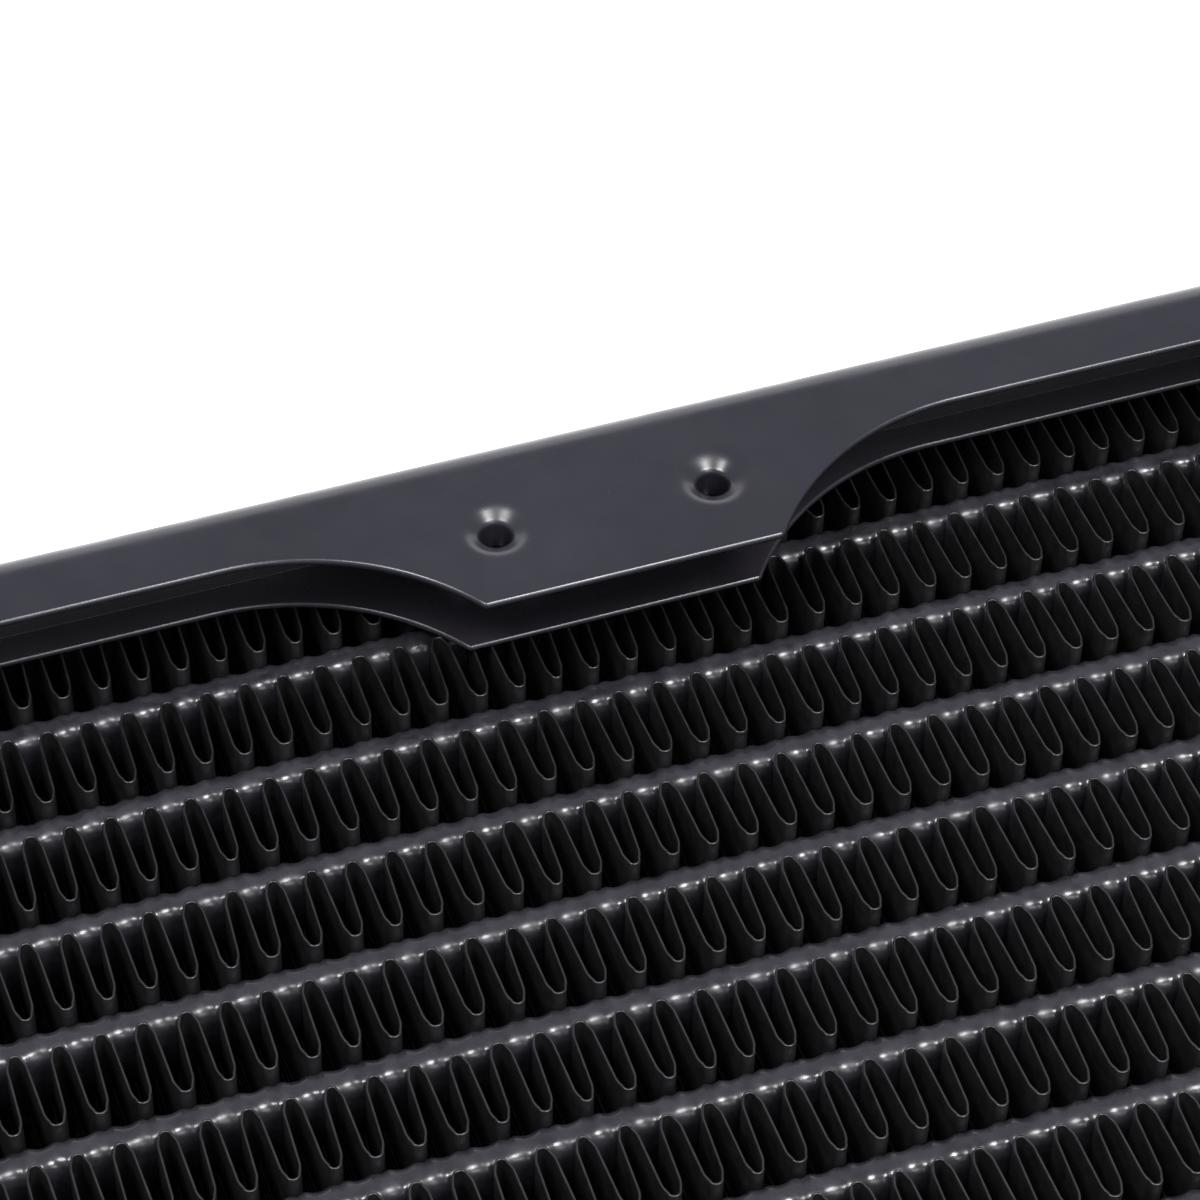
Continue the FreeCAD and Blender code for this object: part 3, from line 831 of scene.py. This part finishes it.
def fin_paint():
    """Thin black paint over folded strip, wearing through to bare metal deep between the tubes."""
    n = Nodes("fin_paint")
    split = n.add("ShaderNodeSeparateXYZ")
    n.link(n.place, split.inputs["Vector"])
    middle = HEIGHT / 2 * MM
    away = n.add("ShaderNodeMath", operation="SUBTRACT")
    away.inputs[1].default_value = middle
    n.link(split.outputs["Z"], away.inputs[0])
    depth = n.add("ShaderNodeMath", operation="ABSOLUTE")
    n.link(away.outputs[0], depth.inputs[0])
    deep = n.span(depth.outputs[0], ALL_BARE * MM, NONE_BARE * MM, 1.0, 0.0)
    patches = n.span(n.noise(0.8, 4.0, 0.6), 0.42, 0.62, 0.0, 1.0)
    bare = n.add("ShaderNodeMath", operation="MULTIPLY")
    n.link(deep, bare.inputs[0])
    n.link(patches, bare.inputs[1])
    painted = n.ramp(n.noise(0.5, 3.0),
                     [(0.3, (0.0045, 0.0042, 0.0046)), (0.75, (0.0092, 0.0086, 0.0092))])
    metal = n.ramp(n.noise(1.5, 2.0), [(0.3, (0.16, 0.12, 0.05)), (0.7, (0.33, 0.26, 0.12))])
    n.link(n.mix(bare.outputs[0], painted, metal), n.shader.inputs["Base Color"])
    n.link(n.span(bare.outputs[0], 0.0, 1.0, 0.0, 0.8), n.shader.inputs["Metallic"])
    n.link(n.span(n.noise(1.2, 3.0), 0.3, 0.7, 0.3, 0.46), n.shader.inputs["Roughness"])
    n.bump([(n.noise(3.0, 3.0), 0.5, 0.02)])
    return n.material


def tube_paint():
    """Paint pooled over solder on the tube noses: a greyer, lumpier coat than the rail's."""
    n = Nodes("tube_paint")
    colour = n.ramp(n.noise(0.6, 4.0, 0.6),
                    [(0.3, (0.010, 0.010, 0.012)), (0.7, (0.022, 0.021, 0.026))])
    n.link(colour, n.shader.inputs["Base Color"])
    n.link(n.span(n.noise(1.2, 3.0), 0.3, 0.7, 0.20, 0.34), n.shader.inputs["Roughness"])
    n.bump([(n.noise(1.2, 1.0), 0.2, 0.03)])
    return n.material


def bare_brass():
    """Rolled brass sheet with faint streaks along its length and dull patches."""
    n = Nodes("brass")
    stretch = n.add("ShaderNodeMapping")
    stretch.inputs["Scale"].default_value = (0.08, 1.0, 1.0)
    n.link(n.place, stretch.inputs["Vector"])
    streaks = n.add("ShaderNodeTexNoise")
    streaks.inputs["Scale"].default_value = 2.5 / MM
    n.link(stretch.outputs["Vector"], streaks.inputs["Vector"])
    n.link(n.ramp(streaks.outputs["Fac"], [(0.3, (0.52, 0.38, 0.16)), (0.7, (0.74, 0.58, 0.30))]),
           n.shader.inputs["Base Color"])
    n.shader.inputs["Metallic"].default_value = 1.0
    n.link(n.span(n.noise(0.4, 3.0), 0.3, 0.7, 0.28, 0.45), n.shader.inputs["Roughness"])
    n.bump([(streaks.outputs["Fac"], 0.3, 0.01)])
    return n.material


def turned_metal(name, base, metallic, roughness):
    """Turned and plated metal: fine rings left by the tool, round an axis along X."""
    n = Nodes(name)
    rings = n.add("ShaderNodeTexWave", wave_type="BANDS", bands_direction="X")
    rings.inputs["Scale"].default_value = 1.2 / MM
    rings.inputs["Distortion"].default_value = 0.6
    n.link(n.place, rings.inputs["Vector"])
    dark = tuple(c * 0.8 for c in base)
    light = tuple(min(1, c * 1.25) for c in base)
    n.link(n.ramp(n.noise(0.5, 3.0), [(0.3, dark), (0.7, light)]), n.shader.inputs["Base Color"])
    n.shader.inputs["Metallic"].default_value = metallic
    worn = n.span(n.noise(1.0, 3.0), 0.3, 0.7, roughness - 0.05, roughness + 0.07)
    n.link(worn, n.shader.inputs["Roughness"])
    n.bump([(rings.outputs["Fac"], 0.25, 0.006), (n.noise(4.0, 2.0), 0.2, 0.006)])
    return n.material


def seal_rubber():
    """Matt black rubber with a fine moulded grain and pale bloom."""
    n = Nodes("seal_rubber")
    n.link(n.ramp(n.noise(0.9, 4.0), [(0.35, (0.010, 0.010, 0.010)), (0.8, (0.028, 0.027, 0.026))]),
           n.shader.inputs["Base Color"])
    n.link(n.span(n.noise(1.5, 3.0), 0.3, 0.7, 0.55, 0.72), n.shader.inputs["Roughness"])
    n.bump([(n.noise(5.0, 3.0), 0.4, 0.01)])
    return n.material


def studio_floor():
    """Matt off-white paper with the slightest mottle."""
    n = Nodes("studio_floor")
    n.link(n.ramp(n.noise(0.02, 3.0), [(0.3, (0.90, 0.90, 0.90)), (0.7, (0.94, 0.94, 0.94))]),
           n.shader.inputs["Base Color"])
    n.shader.inputs["Roughness"].default_value = 0.9
    n.shader.inputs["Specular IOR Level"].default_value = 0.1
    return n.material


def refinish(node, material):
    """Gives a carried-over CAD node its finish."""
    mesh = frame["nodes"][node].data
    mesh.materials.clear()
    mesh.materials.append(material)


# Studio ------------------------------------------------------------------------------------------

def floor():
    size = FLOOR_HALF_WIDTH
    bm = bmesh.new()
    places = [-size + 2 * size * i / FLOOR_SQUARES for i in range(FLOOR_SQUARES + 1)]
    grid(bm, [[(x, y, 0) for y in places] for x in places])
    bmesh.ops.recalc_face_normals(bm, faces=bm.faces[:])
    if next(iter(bm.faces)).normal.z < 0:
        bmesh.ops.reverse_faces(bm, faces=bm.faces[:])
    mesh = bpy.data.meshes.new("studio_floor")
    bm.to_mesh(mesh)
    bm.free()
    piece = bpy.data.objects.new("studio_floor", mesh)
    piece.location.z = -FLOOR_DROP
    bpy.context.scene.collection.objects.link(piece)
    mesh.materials.append(studio_floor())


def softbox(name, place, aim, width, height, power):
    """A flat rectangular light that faces a point."""
    light = bpy.data.lights.new(name, "AREA")
    light.shape = "RECTANGLE"
    light.size = width
    light.size_y = height
    light.energy = power
    piece = bpy.data.objects.new(name, light)
    piece.location = place
    piece.rotation_euler = (Vector(aim) - Vector(place)).to_track_quat("-Z", "Y").to_euler()
    bpy.context.scene.collection.objects.link(piece)


def lights():
    world = bpy.data.worlds.new("studio")
    bpy.context.scene.world = world
    world.use_nodes = True
    background = world.node_tree.nodes["Background"]
    background.inputs["Color"].default_value = (0.94, 0.94, 1.08, 1)
    background.inputs["Strength"].default_value = 0.58
    softbox("softbox_left", (-0.68, -0.21, 1.46), CORE_AIM, width=0.5, height=0.5, power=22)
    softbox("softbox_right", (0.38, -0.58, 1.46), CORE_AIM, width=0.5, height=0.5, power=28)
    softbox("softbox_front", (0.2, -1.2, 1.0), CORE_AIM, width=0.9, height=0.45, power=6)
    softbox("softbox_behind", (0.3, 1.3, 0.32), BACKDROP_AIM, width=2.6, height=0.6, power=5.2)


def camera():
    target = Vector((MIDDLE_X, HOLE_LINE, HEIGHT))
    lens = bpy.data.cameras.new("camera")
    lens.lens = CAMERA_LENS
    lens.sensor_width = SENSOR
    lens.clip_start = 0.01
    piece = bpy.data.objects.new("camera", lens)
    piece.location = (target + CAMERA_OFFSET) * MM
    piece.rotation_euler = Euler([math.radians(a) for a in CAMERA_TURNS])
    bpy.context.scene.collection.objects.link(piece)
    bpy.context.scene.camera = piece


# Everything --------------------------------------------------------------------------------------

rail_finish = black_paint("rail_paint", (0.0105, 0.0105, 0.0145), 0.27)
# The guard strips get a lighter copy of the rail's black paint: painted light, standing in for light
# reaching the guard plates in the shade under the flange edge.
guard_with_painted_light = black_paint("guard_paint", (0.0165, 0.0150, 0.0185), 0.27)
tank_finish = black_paint("tank_paint", (0.0105, 0.0105, 0.0145), 0.27)
header_finish = black_paint("header_paint", (0.0075, 0.007, 0.0095), 0.36)

side_rails(rail_finish)
guard_strips(guard_with_painted_light)
tubes(tube_paint())
fin_strips(fin_paint())
bushes(turned_metal("bush_metal", (0.045, 0.045, 0.05), 0.6, 0.3))
bleed_plug(turned_metal("plug_metal", (0.04, 0.04, 0.045), 0.6, 0.28))
o_ring(seal_rubber())
for name in ("port_tank", "return_tank"):
    refinish(name, tank_finish)
for name in ("header_plate_port_end", "header_plate_return_end"):
    refinish(name, header_finish)
refinish("port_tank_baffle", bare_brass())

floor()
lights()
camera()
bpy.context.scene.view_settings.view_transform = "Standard"
